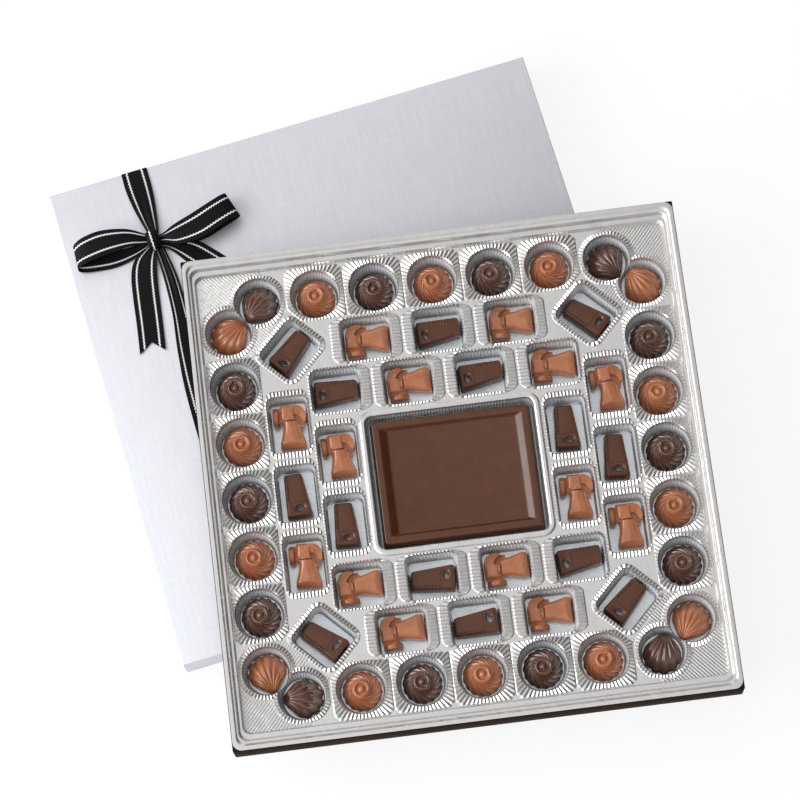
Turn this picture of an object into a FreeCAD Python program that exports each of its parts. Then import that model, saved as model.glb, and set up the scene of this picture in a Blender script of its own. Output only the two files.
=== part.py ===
import FreeCAD, Part
import math
import os

# A square box of moulded chocolates, in millimetres, with +Z up and the floor at z = 0.
# The lid lies on the floor with its open side down, and the filled base lies on top of it.
# Sizes run from the inside out: chocolates, cups, deck, rim, base and lid.

# Swirls: round pieces with a twisted, lobed outline
swirl_diameter = 24.4
swirl_height = 12.5
swirl_lobes = 14
swirl_lobe_share = 0.93
swirl_twist_degrees = 80.0
swirl_level_shares = (0.0, 0.18, 0.5, 0.78, 1.0)
swirl_radius_shares = (0.94, 1.0, 0.82, 0.5, 0.2)

# Scallop shells: ribbed fans on a short hinge
shell_length = 22.6
shell_width = 23.4
shell_height = 11.5
shell_hinge_width = 8.0
shell_ribs = 9
shell_fan_degrees = 145.0
shell_valley_share = 0.93
shell_level_shares = (0.0, 0.3, 0.62, 0.85, 1.0)
shell_scale_shares = (1.0, 0.97, 0.8, 0.55, 0.2)
shell_crown_share = -0.14

# Claw hammers: the head lies across the far end, the handle flares towards the near end
hammer_length = 27.5
hammer_width = 19.5
hammer_height = 10.5
hammer_bevel = 1.6
hammer_side_share = 0.62
hammer_outline_shares = (
    (-0.42, -0.5), (0.42, -0.5), (0.44, -0.42), (0.27, 0.05), (0.34, 0.0), (0.5, -0.02), (0.5, 0.2),
    (0.4, 0.44), (0.2, 0.5), (-0.06, 0.47), (-0.3, 0.44), (-0.48, 0.42), (-0.5, 0.24), (-0.3, 0.2),
    (-0.28, 0.08), (-0.45, -0.42),
)

# Hand saws: a tapering blade with a holed handle at the wide end
saw_length = 27.0
saw_wide_end = 16.6
saw_narrow_end = 11.6
saw_height = 10.0
saw_bevel = 1.5
saw_side_share = 0.7
saw_hole_length = 5.0
saw_hole_width = 3.2
saw_hole_round_share = 0.48
saw_hole_share = 0.27
saw_hole_turn_degrees = 25.0

# Centre bar: a raised frame round a sunken panel
bar_length = 97.5
bar_width = 78.0
bar_height = 10.5
bar_draft = 1.6
bar_frame = 6.2
bar_panel_depth = 3.0
bar_panel_draft = 1.0
bar_corner = 2.0

# Insert: one thin formed sheet
sheet = 0.5
piece_gap = 0.1
cup_depth = 13.5
cup_taper = 1.2
round_cup_diameter = 30.0
shell_cup_diameter = 28.6
row_cup_length = 30.6
row_cup_width = 27.0
column_cup_length = 34.5
column_cup_width = 24.8
tool_cup_corner = 4.0
bar_cup_gap = 2.2
bar_cup_depth = 11.6
bar_cup_corner = 5.0
bar_lip = 3.6
bar_lip_rise = 1.2
cup_headroom = 8.0

# Lands left between neighbouring cups, and insets of the corner cups from the columns and rows they end
lip_column_land = 1.9
lip_row_land = 1.7
column_land = 2.3
row_land = 2.8
column_pitch_land = 8.2
row_pitch_land = 13.2
diagonal_column_inset = 6.0
diagonal_row_inset = 1.5
shell_row_inset = 19.25
shell_column_inset = 17.1
swirls_each_way = 2

# Rim of the insert: two steps up from the deck to a flat flange
deck_margin = 1.4
deck_corner = 7.0
step_run = 1.0
step_drop = 2.8
ledge = 1.4
flange = 2.0
insert_clearance = 0.4
rim_below_edge = 0.5

# Board boxes: greyboard panels, taped corners and a glued paper wrap
board = 1.5
paper = 0.25
stay = 0.15
stay_leg = 14.0
turn_in = 12.0
mitre_overrun = 2.0

# Lid: slides over the base, and lies turned under it
lid_clearance = 0.9
lid_spare_depth = 0.5
lid_turn_degrees = 9.86
lid_left = 50.7
lid_back = 85.2
rest_gap = 0.1

# Ribbon and bow on the lid
ribbon_width = 16.0
ribbon = 0.4
ribbon_edge_distance = 54.5
ribbon_rim_gap = 1.0
bow_back_distance = 48.0
knot_diameter = 12.0
knot_height = 8.5
knot_rounding = 2.5
knot_gap = 0.2
gather_width = 6.0
gather_length = 20.0
loop_length = 46.0
loop_height = 8.5
loop_rise = 1.6
loop_tip_drop = 1.0
left_loop_degrees = 170.0
right_loop_degrees = 2.0
tail_length = 66.0
tail_start_rise = 0.3
tail_notch = 7.0
left_tail_degrees = -107.5
right_tail_degrees = -28.5

half = 0.5
quarter_turn_degrees = 90.0
eighth_turn_degrees = 45.0
half_turn_degrees = 180.0
full_turn_degrees = 360.0

# Places of the cups, from the middle of the box outwards
bar_cup_length = bar_length + 2 * bar_cup_gap
bar_cup_width = bar_width + 2 * bar_cup_gap
lip_length = bar_cup_length + 2 * bar_lip
lip_width = bar_cup_width + 2 * bar_lip
inner_column = half * lip_length + lip_column_land + half * column_cup_width
outer_column = inner_column + column_cup_width + column_land
swirl_column = outer_column + half * (column_cup_width + round_cup_diameter) + column_land
inner_row = half * lip_width + lip_row_land + half * row_cup_width
outer_row = inner_row + row_cup_width + row_land
swirl_row = outer_row + half * (row_cup_width + round_cup_diameter) + row_land
row_pitch = row_cup_length + row_pitch_land
column_pitch = column_cup_length + column_pitch_land
shell_in_row = swirl_column - shell_row_inset
shell_in_column = swirl_row - shell_column_inset
shell_cup_spare = half * (round_cup_diameter - shell_cup_diameter)
swirl_row_pitch = (shell_in_row + shell_cup_spare) / (swirls_each_way + 1)
swirl_column_pitch = (shell_in_column + shell_cup_spare) / (swirls_each_way + 1)
diagonal_column = outer_column - diagonal_column_inset
diagonal_row = outer_row - diagonal_row_inset

# Sizes of the insert, base and lid that follow from the cups
wall = paper + board + stay + paper
deck_half = max(swirl_column, swirl_row) + half * round_cup_diameter + deck_margin
insert_half = deck_half + 2 * step_run + ledge + flange
base_side = 2 * (insert_half + insert_clearance + wall)
base_floor = paper + board
base_height = base_floor + piece_gap + sheet + cup_depth + 2 * step_drop + rim_below_edge
lid_side = base_side + 2 * (lid_clearance + wall)
lid_height = base_height + board + paper + lid_spare_depth
base_level = lid_height + ribbon + rest_gap
cup_floor = base_floor + piece_gap + sheet
deck_level = cup_floor + cup_depth
rim_level = deck_level + 2 * step_drop
bar_floor = deck_level - bar_cup_depth

# The floor under the middle of the whole set is the origin.
turn = math.radians(lid_turn_degrees)
lid_reach = half * lid_side * (abs(math.cos(turn)) + abs(math.sin(turn)))
base_reach = half * base_side
set_x = half * (max(base_reach, lid_reach - lid_left) + min(-base_reach, -lid_reach - lid_left))
set_y = half * (max(base_reach, lid_reach + lid_back) + min(-base_reach, lid_back - lid_reach))
base_place = FreeCAD.Vector(-set_x, -set_y, base_level)
lid_place = FreeCAD.Vector(-lid_left - set_x, lid_back - set_y, 0)

up = FreeCAD.Vector(0, 0, 1)
across = FreeCAD.Vector(1, 0, 0)
middle = FreeCAD.Vector(0, 0, 0)


def block(x_low, x_high, y_low, y_high, z_low, z_high):
    corner = FreeCAD.Vector(x_low, y_low, z_low)
    return Part.makeBox(x_high - x_low, y_high - y_low, z_high - z_low, corner)


def prism(points, height):
    wire = Part.makePolygon(points + points[:1])
    return Part.Face(wire).extrude(up * height)


def rounded_rectangle(length, width, radius, z):
    x, y = half * length, half * width
    slant = radius * (1 - math.sqrt(half))
    edges = []
    for sx, sy, turned in ((1, 1, False), (-1, 1, True), (-1, -1, False), (1, -1, True)):
        start = FreeCAD.Vector(sx * x, sy * (y - radius), z)
        bend = FreeCAD.Vector(sx * (x - slant), sy * (y - slant), z)
        end = FreeCAD.Vector(sx * (x - radius), sy * y, z)
        if turned:
            start, end = end, start
        if edges:
            edges.append(Part.makeLine(edges[-1].Vertexes[-1].Point, start))
        edges.append(Part.Arc(start, bend, end).toShape())
    edges.append(Part.makeLine(edges[-1].Vertexes[-1].Point, edges[0].Vertexes[0].Point))
    return Part.Wire(edges)


def loft(wires):
    return Part.makeLoft(wires, True, True)


def moved(shape, x, y, z, degrees):
    copy = shape.copy()
    copy.rotate(middle, up, degrees)
    copy.translate(FreeCAD.Vector(x, y, z))
    return copy


# Chocolates, each standing on z = 0 at the middle of its cup

def swirl():
    wires = []
    for level, radius in zip(swirl_level_shares, swirl_radius_shares):
        points = []
        for step in range(2 * swirl_lobes):
            lobe = 1 if step % 2 == 0 else swirl_lobe_share
            degrees = full_turn_degrees * step / (2 * swirl_lobes) + swirl_twist_degrees * level
            angle = math.radians(degrees)
            reach = half * swirl_diameter * radius * lobe
            points.append(FreeCAD.Vector(reach * math.cos(angle), reach * math.sin(angle), swirl_height * level))
        wires.append(Part.makePolygon(points + points[:1]))
    return loft(wires)


def scallop():
    # The hinge is at -Y, and the ribbed edge runs round from one end of it to the other.
    fan = math.radians(shell_fan_degrees)
    x, y = half * shell_width, half * shell_length
    rim = [FreeCAD.Vector(-half * shell_hinge_width, -y, 0)]
    for step in range(2 * shell_ribs + 1):
        angle = fan * (step / shell_ribs - 1)
        rib = shell_valley_share if step % 2 == 0 else 1
        rim.append(FreeCAD.Vector(x * rib * math.sin(angle), y * rib * math.cos(angle), 0))
    rim.append(FreeCAD.Vector(half * shell_hinge_width, -y, 0))
    crown = FreeCAD.Vector(0, shell_crown_share * shell_length, 0)
    wires = []
    for level, scale in zip(shell_level_shares, shell_scale_shares):
        rise = up * (shell_height * level)
        points = [crown + (point - crown) * scale + rise for point in rim]
        wires.append(Part.makePolygon(points + points[:1]))
    return loft(wires)


def bevelled(shares, length, width, height, bevel, side_share):
    wires = []
    for inset, z in ((0, 0), (0, height * side_share), (2 * bevel, height)):
        points = [FreeCAD.Vector(x * (width - inset), y * (length - inset), z) for x, y in shares]
        wires.append(Part.makePolygon(points + points[:1]))
    return loft(wires)


def hammer():
    return bevelled(
        hammer_outline_shares, hammer_length, hammer_width, hammer_height, hammer_bevel, hammer_side_share)


def saw():
    narrow_share = half * saw_narrow_end / saw_wide_end
    outline = ((-half, -half), (half, -half), (narrow_share, half), (-narrow_share, half))
    body = bevelled(outline, saw_length, saw_wide_end, saw_height, saw_bevel, saw_side_share)
    slot = rounded_rectangle(saw_hole_length, saw_hole_width, saw_hole_round_share * saw_hole_width, 0)
    hole = Part.Face(slot).extrude(up * saw_height)
    return body.cut(moved(hole, 0, -saw_hole_share * saw_length, 0, saw_hole_turn_degrees))


def centre_bar():
    foot = rounded_rectangle(bar_length, bar_width, bar_corner, 0)
    top_length, top_width = bar_length - 2 * bar_draft, bar_width - 2 * bar_draft
    top = rounded_rectangle(top_length, top_width, bar_corner, bar_height)
    panel_length, panel_width = top_length - 2 * bar_frame, top_width - 2 * bar_frame
    mouth = rounded_rectangle(panel_length, panel_width, bar_corner, bar_height)
    sunk_length, sunk_width = panel_length - 2 * bar_panel_draft, panel_width - 2 * bar_panel_draft
    sunk = rounded_rectangle(sunk_length, sunk_width, bar_corner, bar_height - bar_panel_depth)
    return loft([foot, top]).cut(loft([sunk, mouth]))


# Places of the chocolates: x, y and turn, with the back of the box at +Y

def swirl_places(dark):
    places = []
    for step in range(-swirls_each_way, swirls_each_way + 1):
        if (step % 2 != 0) == dark:
            places += [(step * swirl_row_pitch, side * swirl_row, 0) for side in (1, -1)]
        else:
            places += [(side * swirl_column, step * swirl_column_pitch, 0) for side in (1, -1)]
    return places


def shell_places(dark):
    # The hinges of a corner's two shells point at each other.
    places = []
    for sx in (1, -1):
        for sy in (1, -1):
            in_row = FreeCAD.Vector(sx * shell_in_row, sy * swirl_row, 0)
            in_column = FreeCAD.Vector(sx * swirl_column, sy * shell_in_column, 0)
            here, other = (in_row, in_column) if dark else (in_column, in_row)
            away = here - other
            places.append((here.x, here.y, math.degrees(math.atan2(-away.x, away.y))))
    return places


def hammer_places():
    lying, standing = quarter_turn_degrees, 0
    places = []
    for side in (1, -1):
        places += [(x * row_pitch, side * outer_row, lying) for x in (1, -1)]
        places += [(side * outer_column, y * column_pitch, standing) for y in (1, -1)]
        places += [(side * x * row_pitch, side * inner_row, lying) for x in (-half, 1 + half)]
        places.append((-side * inner_column, side * half * column_pitch, standing))
    return places


def saw_places():
    lying, standing = quarter_turn_degrees, 0
    places = []
    for side in (1, -1):
        places.append((0, side * outer_row, -side * lying))
        places.append((side * outer_column, 0, standing))
        places.append((side * half * row_pitch, side * inner_row, -side * lying))
        places.append((-side * (1 + half) * row_pitch, side * inner_row, -lying))
        places.append((side * inner_column, side * half * column_pitch, standing))
        for other in (1, -1):
            places.append((side * diagonal_column, other * diagonal_row, side * other * eighth_turn_degrees))
    return places


def group(piece, places, z):
    return Part.makeCompound([moved(piece, x, y, z, degrees) for x, y, degrees in places])


# Insert: outer forms one sheet thicker than the hollows that are cut from them

def round_cup(diameter, grow):
    mouth_radius = half * diameter + grow
    top = deck_level - half * sheet if grow else deck_level + cup_headroom
    outline = (
        (0, cup_floor - grow), (mouth_radius - cup_taper, cup_floor - grow), (mouth_radius, deck_level - sheet),
        (mouth_radius, top), (0, top),
    )
    points = [FreeCAD.Vector(r, 0, z) for r, z in outline]
    face = Part.Face(Part.makePolygon(points + points[:1]))
    return face.revolve(middle, up, full_turn_degrees)


def rect_cup(length, width, corner, floor, grow):
    top = deck_level - half * sheet if grow else deck_level + cup_headroom
    wires = []
    for spread, z in ((grow - cup_taper, floor - grow), (grow, deck_level - sheet), (grow, top)):
        wires.append(rounded_rectangle(length + 2 * spread, width + 2 * spread, corner, z))
    return loft(wires)


def cups(grow):
    shapes = []
    swirl_cup = round_cup(round_cup_diameter, grow)
    shell_cup = round_cup(shell_cup_diameter, grow)
    row_cup = rect_cup(row_cup_width, row_cup_length, tool_cup_corner, cup_floor, grow)
    column_cup = rect_cup(column_cup_width, column_cup_length, tool_cup_corner, cup_floor, grow)
    for dark in (True, False):
        shapes += [moved(swirl_cup, x, y, 0, 0) for x, y, degrees in swirl_places(dark)]
        shapes += [moved(shell_cup, x, y, 0, 0) for x, y, degrees in shell_places(dark)]
    for x, y, degrees in hammer_places() + saw_places():
        shapes.append(moved(row_cup if degrees else column_cup, x, y, 0, degrees))
    shapes.append(rect_cup(bar_cup_length, bar_cup_width, bar_cup_corner, bar_floor, grow))
    return shapes


def rim_steps(grow):
    shapes = []
    reach = deck_half
    for step in range(2):
        low = deck_level + step * step_drop
        wires = []
        for spread, z in ((reach, low), (reach + step_run, low + step_drop)):
            size = 2 * (spread + grow)
            wires.append(rounded_rectangle(size, size, deck_corner, z - grow))
        shapes.append(loft(wires))
        reach += step_run + ledge
    return shapes


def insert_tray():
    corner = deck_corner + flange
    outline = Part.Face(rounded_rectangle(2 * insert_half, 2 * insert_half, corner, rim_level - sheet))
    lip = Part.Face(rounded_rectangle(lip_length, lip_width, bar_cup_corner + bar_lip, deck_level - half * sheet))
    plate = outline.extrude(up * sheet)
    bead = lip.extrude(up * (half * sheet + bar_lip_rise))
    rim = plate.fuse(rim_steps(sheet)).cut(rim_steps(0))
    return rim.fuse(bead).fuse(cups(sheet)).cut(cups(0)).removeSplitter()


# Board boxes, made standing with the open side up

def covered_tray(side, height):
    outer = half * side
    board_outer = outer - paper - stay
    inner = board_outer - board
    top = height - paper
    pieces = {
        "bottom_panel": block(-inner, inner, -inner, inner, paper, paper + board),
        "wall_front": block(-board_outer, board_outer, -board_outer, -inner, paper, top),
        "wall_back": block(-board_outer, board_outer, inner, board_outer, paper, top),
        "wall_left": block(-board_outer, -inner, -inner, inner, paper, top),
        "wall_right": block(inner, board_outer, -inner, inner, paper, top),
    }
    stay_outline = (
        (board_outer - stay_leg, board_outer), (board_outer, board_outer), (board_outer, board_outer - stay_leg),
        (board_outer + stay, board_outer - stay_leg), (board_outer + stay, board_outer + stay),
        (board_outer - stay_leg, board_outer + stay),
    )
    corner_stay = prism([FreeCAD.Vector(x, y, paper) for x, y in stay_outline], top - paper)
    flap_outline = (
        (-outer, paper), (-outer, height), (paper - inner, height), (paper - inner, height - turn_in),
        (-inner, height - turn_in), (-inner, top), (paper - outer, top), (paper - outer, paper),
    )
    points = [FreeCAD.Vector(-outer, y, z) for y, z in flap_outline]
    strip = Part.Face(Part.makePolygon(points + points[:1])).extrude(across * side)
    far = outer + mitre_overrun
    wedge = prism([middle, FreeCAD.Vector(-far, -far, 0), FreeCAD.Vector(far, -far, 0)], height)
    flap = strip.common(wedge)
    quarters = [step * quarter_turn_degrees for step in range(4)]
    pieces["corner_stays"] = Part.makeCompound([moved(corner_stay, 0, 0, 0, turned) for turned in quarters])
    sheet_below = block(-outer, outer, -outer, outer, 0, paper)
    pieces["wrap"] = Part.makeCompound([sheet_below] + [moved(flap, 0, 0, 0, turned) for turned in quarters])
    return pieces


# Ribbon, in the lid's own frame: z = 0 at its rim and x, y from its middle

lid_half = half * lid_side
lid_top = lid_height
bow_x = ribbon_edge_distance - lid_half
bow_y = lid_half - bow_back_distance
knot_radius = half * knot_diameter
bow_start = knot_radius + knot_gap
over_ribbon = lid_top + ribbon + knot_gap


def ribbon_band():
    far = lid_half + ribbon
    outline = (
        (-far, ribbon_rim_gap), (-far, lid_top + ribbon), (far, lid_top + ribbon), (far, ribbon_rim_gap),
        (lid_half, ribbon_rim_gap), (lid_half, lid_top), (-lid_half, lid_top), (-lid_half, ribbon_rim_gap),
    )
    edge = bow_x - half * ribbon_width
    points = [FreeCAD.Vector(edge, y, z) for y, z in outline]
    return Part.Face(Part.makePolygon(points + points[:1])).extrude(across * ribbon_width)


def bow_knot():
    knot = Part.makeCylinder(knot_radius, knot_height)
    rounded = knot.makeFillet(knot_rounding, knot.Edges)
    return moved(rounded, bow_x, bow_y, over_ribbon, 0)


def strip_plan(length, notch):
    # Plan of a bow's strip along +X: gathered at the knot, full width further out, notched at a cut end.
    gathered, full = half * gather_width, half * ribbon_width
    bend = bow_start + gather_length
    end = bow_start + length
    plan = [(bow_start, -gathered), (bend, -full), (end, -full), (end - notch, 0), (end, full), (bend, full)]
    if not notch:
        plan.remove((end, 0))
    plan.append((bow_start, gathered))
    return prism([FreeCAD.Vector(x, y, 0) for x, y in plan], lid_top + knot_height + loop_height)


def side_strip(edges):
    # A strip's side view, in the plane of X and Z, widened to the ribbon's width.
    face = Part.Face(Part.Wire(edges))
    face.translate(FreeCAD.Vector(0, -half * ribbon_width, 0))
    return face.extrude(FreeCAD.Vector(0, ribbon_width, 0))


def loop_outline(inset):
    low = over_ribbon + loop_rise + inset
    high = over_ribbon + loop_rise + loop_height - inset
    tip_low = low - loop_tip_drop
    radius = half * (high - tip_low)
    bend = bow_start + loop_length - radius - inset
    start = FreeCAD.Vector(bow_start, 0, low)
    below = FreeCAD.Vector(bend, 0, tip_low)
    tip = FreeCAD.Vector(bend + radius, 0, tip_low + radius)
    above = FreeCAD.Vector(bend, 0, high)
    finish = FreeCAD.Vector(bow_start, 0, half * (low + high) + loop_tip_drop - inset)
    return [
        Part.makeLine(start, below), Part.Arc(below, tip, above).toShape(),
        Part.makeLine(above, finish), Part.makeLine(finish, start),
    ]


def bow_loop(degrees):
    ring = side_strip(loop_outline(0)).cut(side_strip(loop_outline(ribbon)))
    return moved(ring.common(strip_plan(loop_length, 0)), bow_x, bow_y, 0, degrees)


def bow_tail(level, degrees):
    start = over_ribbon + tail_start_rise
    bend = bow_start + gather_length
    end = bow_start + tail_length
    outline = (
        (bow_start, start), (bend, level), (end, level), (end, level + ribbon), (bend, level + ribbon),
        (bow_start, start + ribbon),
    )
    points = [FreeCAD.Vector(x, 0, z) for x, z in outline]
    strip = side_strip(Part.makePolygon(points + points[:1]).Edges)
    return moved(strip.common(strip_plan(tail_length, tail_notch)), bow_x, bow_y, 0, degrees)


nodes = {}

for name, shape in covered_tray(base_side, base_height).items():
    nodes["base_" + name] = moved(shape, base_place.x, base_place.y, base_place.z, 0)

nodes["insert_tray"] = moved(insert_tray(), base_place.x, base_place.y, base_place.z, 0)

seat = cup_floor + piece_gap
chocolates = {
    "milk_swirls": group(swirl(), swirl_places(False), seat),
    "dark_swirls": group(swirl(), swirl_places(True), seat),
    "milk_shells": group(scallop(), shell_places(False), seat),
    "dark_shells": group(scallop(), shell_places(True), seat),
    "milk_hammers": group(hammer(), hammer_places(), seat),
    "dark_saws": group(saw(), saw_places(), seat),
    "centre_bar": moved(centre_bar(), 0, 0, bar_floor + piece_gap, 0),
}
for name, shape in chocolates.items():
    nodes[name] = moved(shape, base_place.x, base_place.y, base_place.z, 0)

# Turning the lid over swaps its front and back walls.
swapped = {"wall_front": "wall_back", "wall_back": "wall_front", "bottom_panel": "top_panel"}
for name, shape in covered_tray(lid_side, lid_height).items():
    upright = shape.copy()
    upright.rotate(middle, across, half_turn_degrees)
    upright.translate(up * lid_height)
    nodes["lid_" + swapped.get(name, name)] = moved(upright, lid_place.x, lid_place.y, 0, lid_turn_degrees)

bow = {
    "ribbon_band": ribbon_band(),
    "bow_knot": bow_knot(),
    "bow_loop_left": bow_loop(left_loop_degrees),
    "bow_loop_right": bow_loop(right_loop_degrees),
    "bow_tail_left": bow_tail(over_ribbon, left_tail_degrees),
    "bow_tail_right": bow_tail(lid_top, right_tail_degrees),
}
for name, shape in bow.items():
    nodes[name] = moved(shape, lid_place.x, lid_place.y, 0, lid_turn_degrees)

os.makedirs("parts", exist_ok=True)
for name, shape in nodes.items():
    solids = len(shape.Solids)
    print(name, "solids", solids, "valid", shape.isValid(), "volume", round(shape.Volume))
    shape.exportStep("parts/" + name + ".step")

print("base side and height", round(base_side, 2), round(base_height, 2))
print("lid side and height", round(lid_side, 2), round(lid_height, 2))
print("base middle", base_place, "lid middle", lid_place)
print("insert rim, deck and cup floor above the base's underside", rim_level, deck_level, cup_floor)
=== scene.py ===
import math
from functools import partial

import bmesh
import bpy
from mathutils import Matrix, Vector
from mathutils.geometry import delaunay_2d_cdt


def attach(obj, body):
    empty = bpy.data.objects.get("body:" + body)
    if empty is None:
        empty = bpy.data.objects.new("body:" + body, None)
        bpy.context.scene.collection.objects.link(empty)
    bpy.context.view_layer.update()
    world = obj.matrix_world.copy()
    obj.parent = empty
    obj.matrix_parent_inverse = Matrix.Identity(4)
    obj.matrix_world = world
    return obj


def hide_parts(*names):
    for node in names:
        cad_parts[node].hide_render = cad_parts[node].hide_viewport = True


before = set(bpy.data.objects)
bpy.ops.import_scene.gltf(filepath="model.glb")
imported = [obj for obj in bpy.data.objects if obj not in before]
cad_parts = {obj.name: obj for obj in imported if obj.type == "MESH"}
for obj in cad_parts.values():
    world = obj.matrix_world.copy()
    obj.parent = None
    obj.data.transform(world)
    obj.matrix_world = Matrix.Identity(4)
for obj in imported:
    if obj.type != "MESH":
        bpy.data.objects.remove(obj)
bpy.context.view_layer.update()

scene = bpy.context.scene
scene.view_settings.view_transform = "Standard"
mm = 0.001
print("frame loaded with", len(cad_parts), "nodes")


# Small tools for modelling, with sizes in millimetres

def clearSelection():
    bpy.ops.object.select_all(action="DESELECT")


def activate(piece):
    clearSelection()
    piece.select_set(True)
    bpy.context.view_layer.objects.active = piece


def edit():
    bpy.ops.object.mode_set(mode="EDIT")


def startEditing(name):
    piece = bpy.context.object
    piece.name = name
    piece.data.name = name
    edit()
    bpy.ops.mesh.select_mode(type="VERT")
    return piece


def stopEditing():
    bpy.ops.object.mode_set(mode="OBJECT")


def selectAll():
    bpy.ops.mesh.select_all(action="SELECT")


def choose(piece, kind, test):
    bpy.ops.mesh.select_mode(type=kind)
    bpy.ops.mesh.select_all(action="DESELECT")
    mesh = bmesh.from_edit_mesh(piece.data)
    parts = {"VERT": mesh.verts, "EDGE": mesh.edges, "FACE": mesh.faces}[kind]
    for part in parts:
        if test(part):
            part.select_set(True)
    bmesh.update_edit_mesh(piece.data)


def middleOf(edge):
    return (edge.verts[0].co + edge.verts[1].co) / 2


def runOf(edge):
    return edge.verts[1].co - edge.verts[0].co


def lowestOf(edge):
    return min(point.co.z for point in edge.verts)


def extrudeBy(x, y, z):
    bpy.ops.mesh.extrude_region_move(TRANSFORM_OT_translate={"value": (x * mm, y * mm, z * mm)})


def scaleAcross(x, y, height=0):
    bpy.ops.transform.resize(value=(x, y, 1), center_override=(0, 0, height * mm))


def bevel(width, segments, what="EDGES"):
    bpy.ops.mesh.bevel(offset=width * mm, segments=segments, affect=what)


def cutAt(spot, facing, **settings):
    selectAll()
    place = [value * mm for value in spot]
    bpy.ops.mesh.bisect(plane_co=place, plane_no=facing, threshold=1e-7, **settings)


def faceOutwards():
    selectAll()
    bpy.ops.mesh.normals_make_consistent(inside=False)


def applyPlace():
    bpy.ops.object.transform_apply(location=True, rotation=True, scale=True)


def startPlane(name, length, width):
    clearSelection()
    bpy.ops.mesh.primitive_plane_add(size=1)
    bpy.ops.transform.resize(value=(length * mm, width * mm, 1))
    applyPlace()
    return startEditing(name)


def block(x0, x1, y0, y1, z0, z1):
    clearSelection()
    middle = ((x0 + x1) / 2 * mm, (y0 + y1) / 2 * mm, (z0 + z1) / 2 * mm)
    bpy.ops.mesh.primitive_cube_add(size=1, location=middle)
    bpy.ops.transform.resize(value=((x1 - x0) * mm, (y1 - y0) * mm, (z1 - z0) * mm))
    applyPlace()
    return bpy.context.object


def modify(piece, kind, **settings):
    activate(piece)
    bpy.ops.object.modifier_add(type=kind)
    modifier = piece.modifiers[-1]
    for name, value in settings.items():
        setattr(modifier, name, value)
    bpy.ops.object.modifier_apply(modifier=modifier.name)


def discard(*pieces):
    for piece in pieces:
        bpy.data.objects.remove(piece)


def carve(piece, cutter):
    modify(piece, "BOOLEAN", object=cutter, operation="DIFFERENCE", solver="EXACT")
    discard(cutter)


def placeAt(x, y, z=0):
    return Matrix.Translation((x * mm, y * mm, z * mm))


def turnZ(degrees):
    return Matrix.Rotation(math.radians(degrees), 4, "Z")


def copyTo(model, x, y, z=0, turn=0):
    copy = model.copy()
    copy.data = model.data.copy()
    scene.collection.objects.link(copy)
    copy.data.transform(placeAt(x, y, z) @ turnZ(turn))
    return copy


def joinAs(pieces, name):
    clearSelection()
    for piece in pieces:
        piece.select_set(True)
    bpy.context.view_layer.objects.active = pieces[0]
    bpy.ops.object.join()
    pieces[0].name = name
    pieces[0].data.name = name
    return pieces[0]


def smooth(piece, degrees):
    activate(piece)
    bpy.ops.object.shade_smooth_by_angle(angle=math.radians(degrees))


def trianglesOf(piece):
    return sum(len(face.vertices) - 2 for face in piece.data.polygons)


def settle(piece, body, slot, material, *nodes):
    piece.data.materials.clear()
    piece.data.materials.append(material)
    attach(piece, body)
    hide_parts(*nodes)


# Materials

def linear(hexText):
    values = [int(hexText[i:i + 2], 16) / 255 for i in (1, 3, 5)]
    return tuple(v / 12.92 if v <= 0.04045 else ((v + 0.055) / 1.055) ** 2.4 for v in values) + (1.0,)


def addNode(tree, kind, settings=None, links=None):
    node = tree.nodes.new("ShaderNode" + kind)
    for name, value in (settings or {}).items():
        if isinstance(name, int) or name in node.inputs:
            node.inputs[name].default_value = value
        else:
            setattr(node, name, value)
    for socket, source in (links or {}).items():
        if isinstance(source, bpy.types.Node):
            source = source.outputs[0]
        tree.links.new(source, node.inputs[socket])
    return node


def newMaterial(name):
    material = bpy.data.materials.new(name)
    material.use_nodes = True
    material.node_tree.nodes.clear()
    return material, partial(addNode, material.node_tree)


def blendStops(node, *stops):
    ramp = node.color_ramp
    while len(ramp.elements) < len(stops):
        ramp.elements.new(0.5)
    for element, (place, colour) in zip(ramp.elements, stops):
        element.position = place
        element.color = linear(colour)


# moulded chocolate: satin, slightly waxy, with faint cloudy bloom and soft highlights
def chocolate(name, shade, body, light, roughness, shine=0.5):
    material, add = newMaterial(name)
    where = add("TexCoord").outputs["Object"]
    cloud = add("TexNoise", {"Scale": 1 / (9 * mm), "Detail": 4.0}, {"Vector": where})
    tint = add("ValToRGB", links={"Fac": cloud})
    blendStops(tint, (0.3, shade), (0.5, body), (0.75, light))
    grain = add("TexNoise", {"Scale": 1 / (1.2 * mm), "Detail": 2.0}, {"Vector": where})
    bump = add("Bump", {"Strength": 0.12, "Distance": 0.2 * mm}, {"Height": grain})
    rough = add("MapRange", {1: 0.3, 2: 0.7, 3: roughness - 0.05, 4: roughness + 0.07}, {0: cloud})
    skin = add("BsdfPrincipled", {"IOR": 1.46, "Specular IOR Level": shine},
                   {"Base Color": tint, "Normal": bump, "Roughness": rough})
    add("OutputMaterial", links={"Surface": skin})
    return material


milkChocolate = chocolate("milk_chocolate", "#965836", "#A4633F", "#B06F49", 0.22, 0.8)
darkChocolate = chocolate("dark_chocolate", "#4A2A1E", "#573426", "#63402E", 0.2, 1.0)
barChocolate = chocolate("dark_bar_chocolate", "#4C2915", "#512C17", "#56301A", 0.25)


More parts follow.
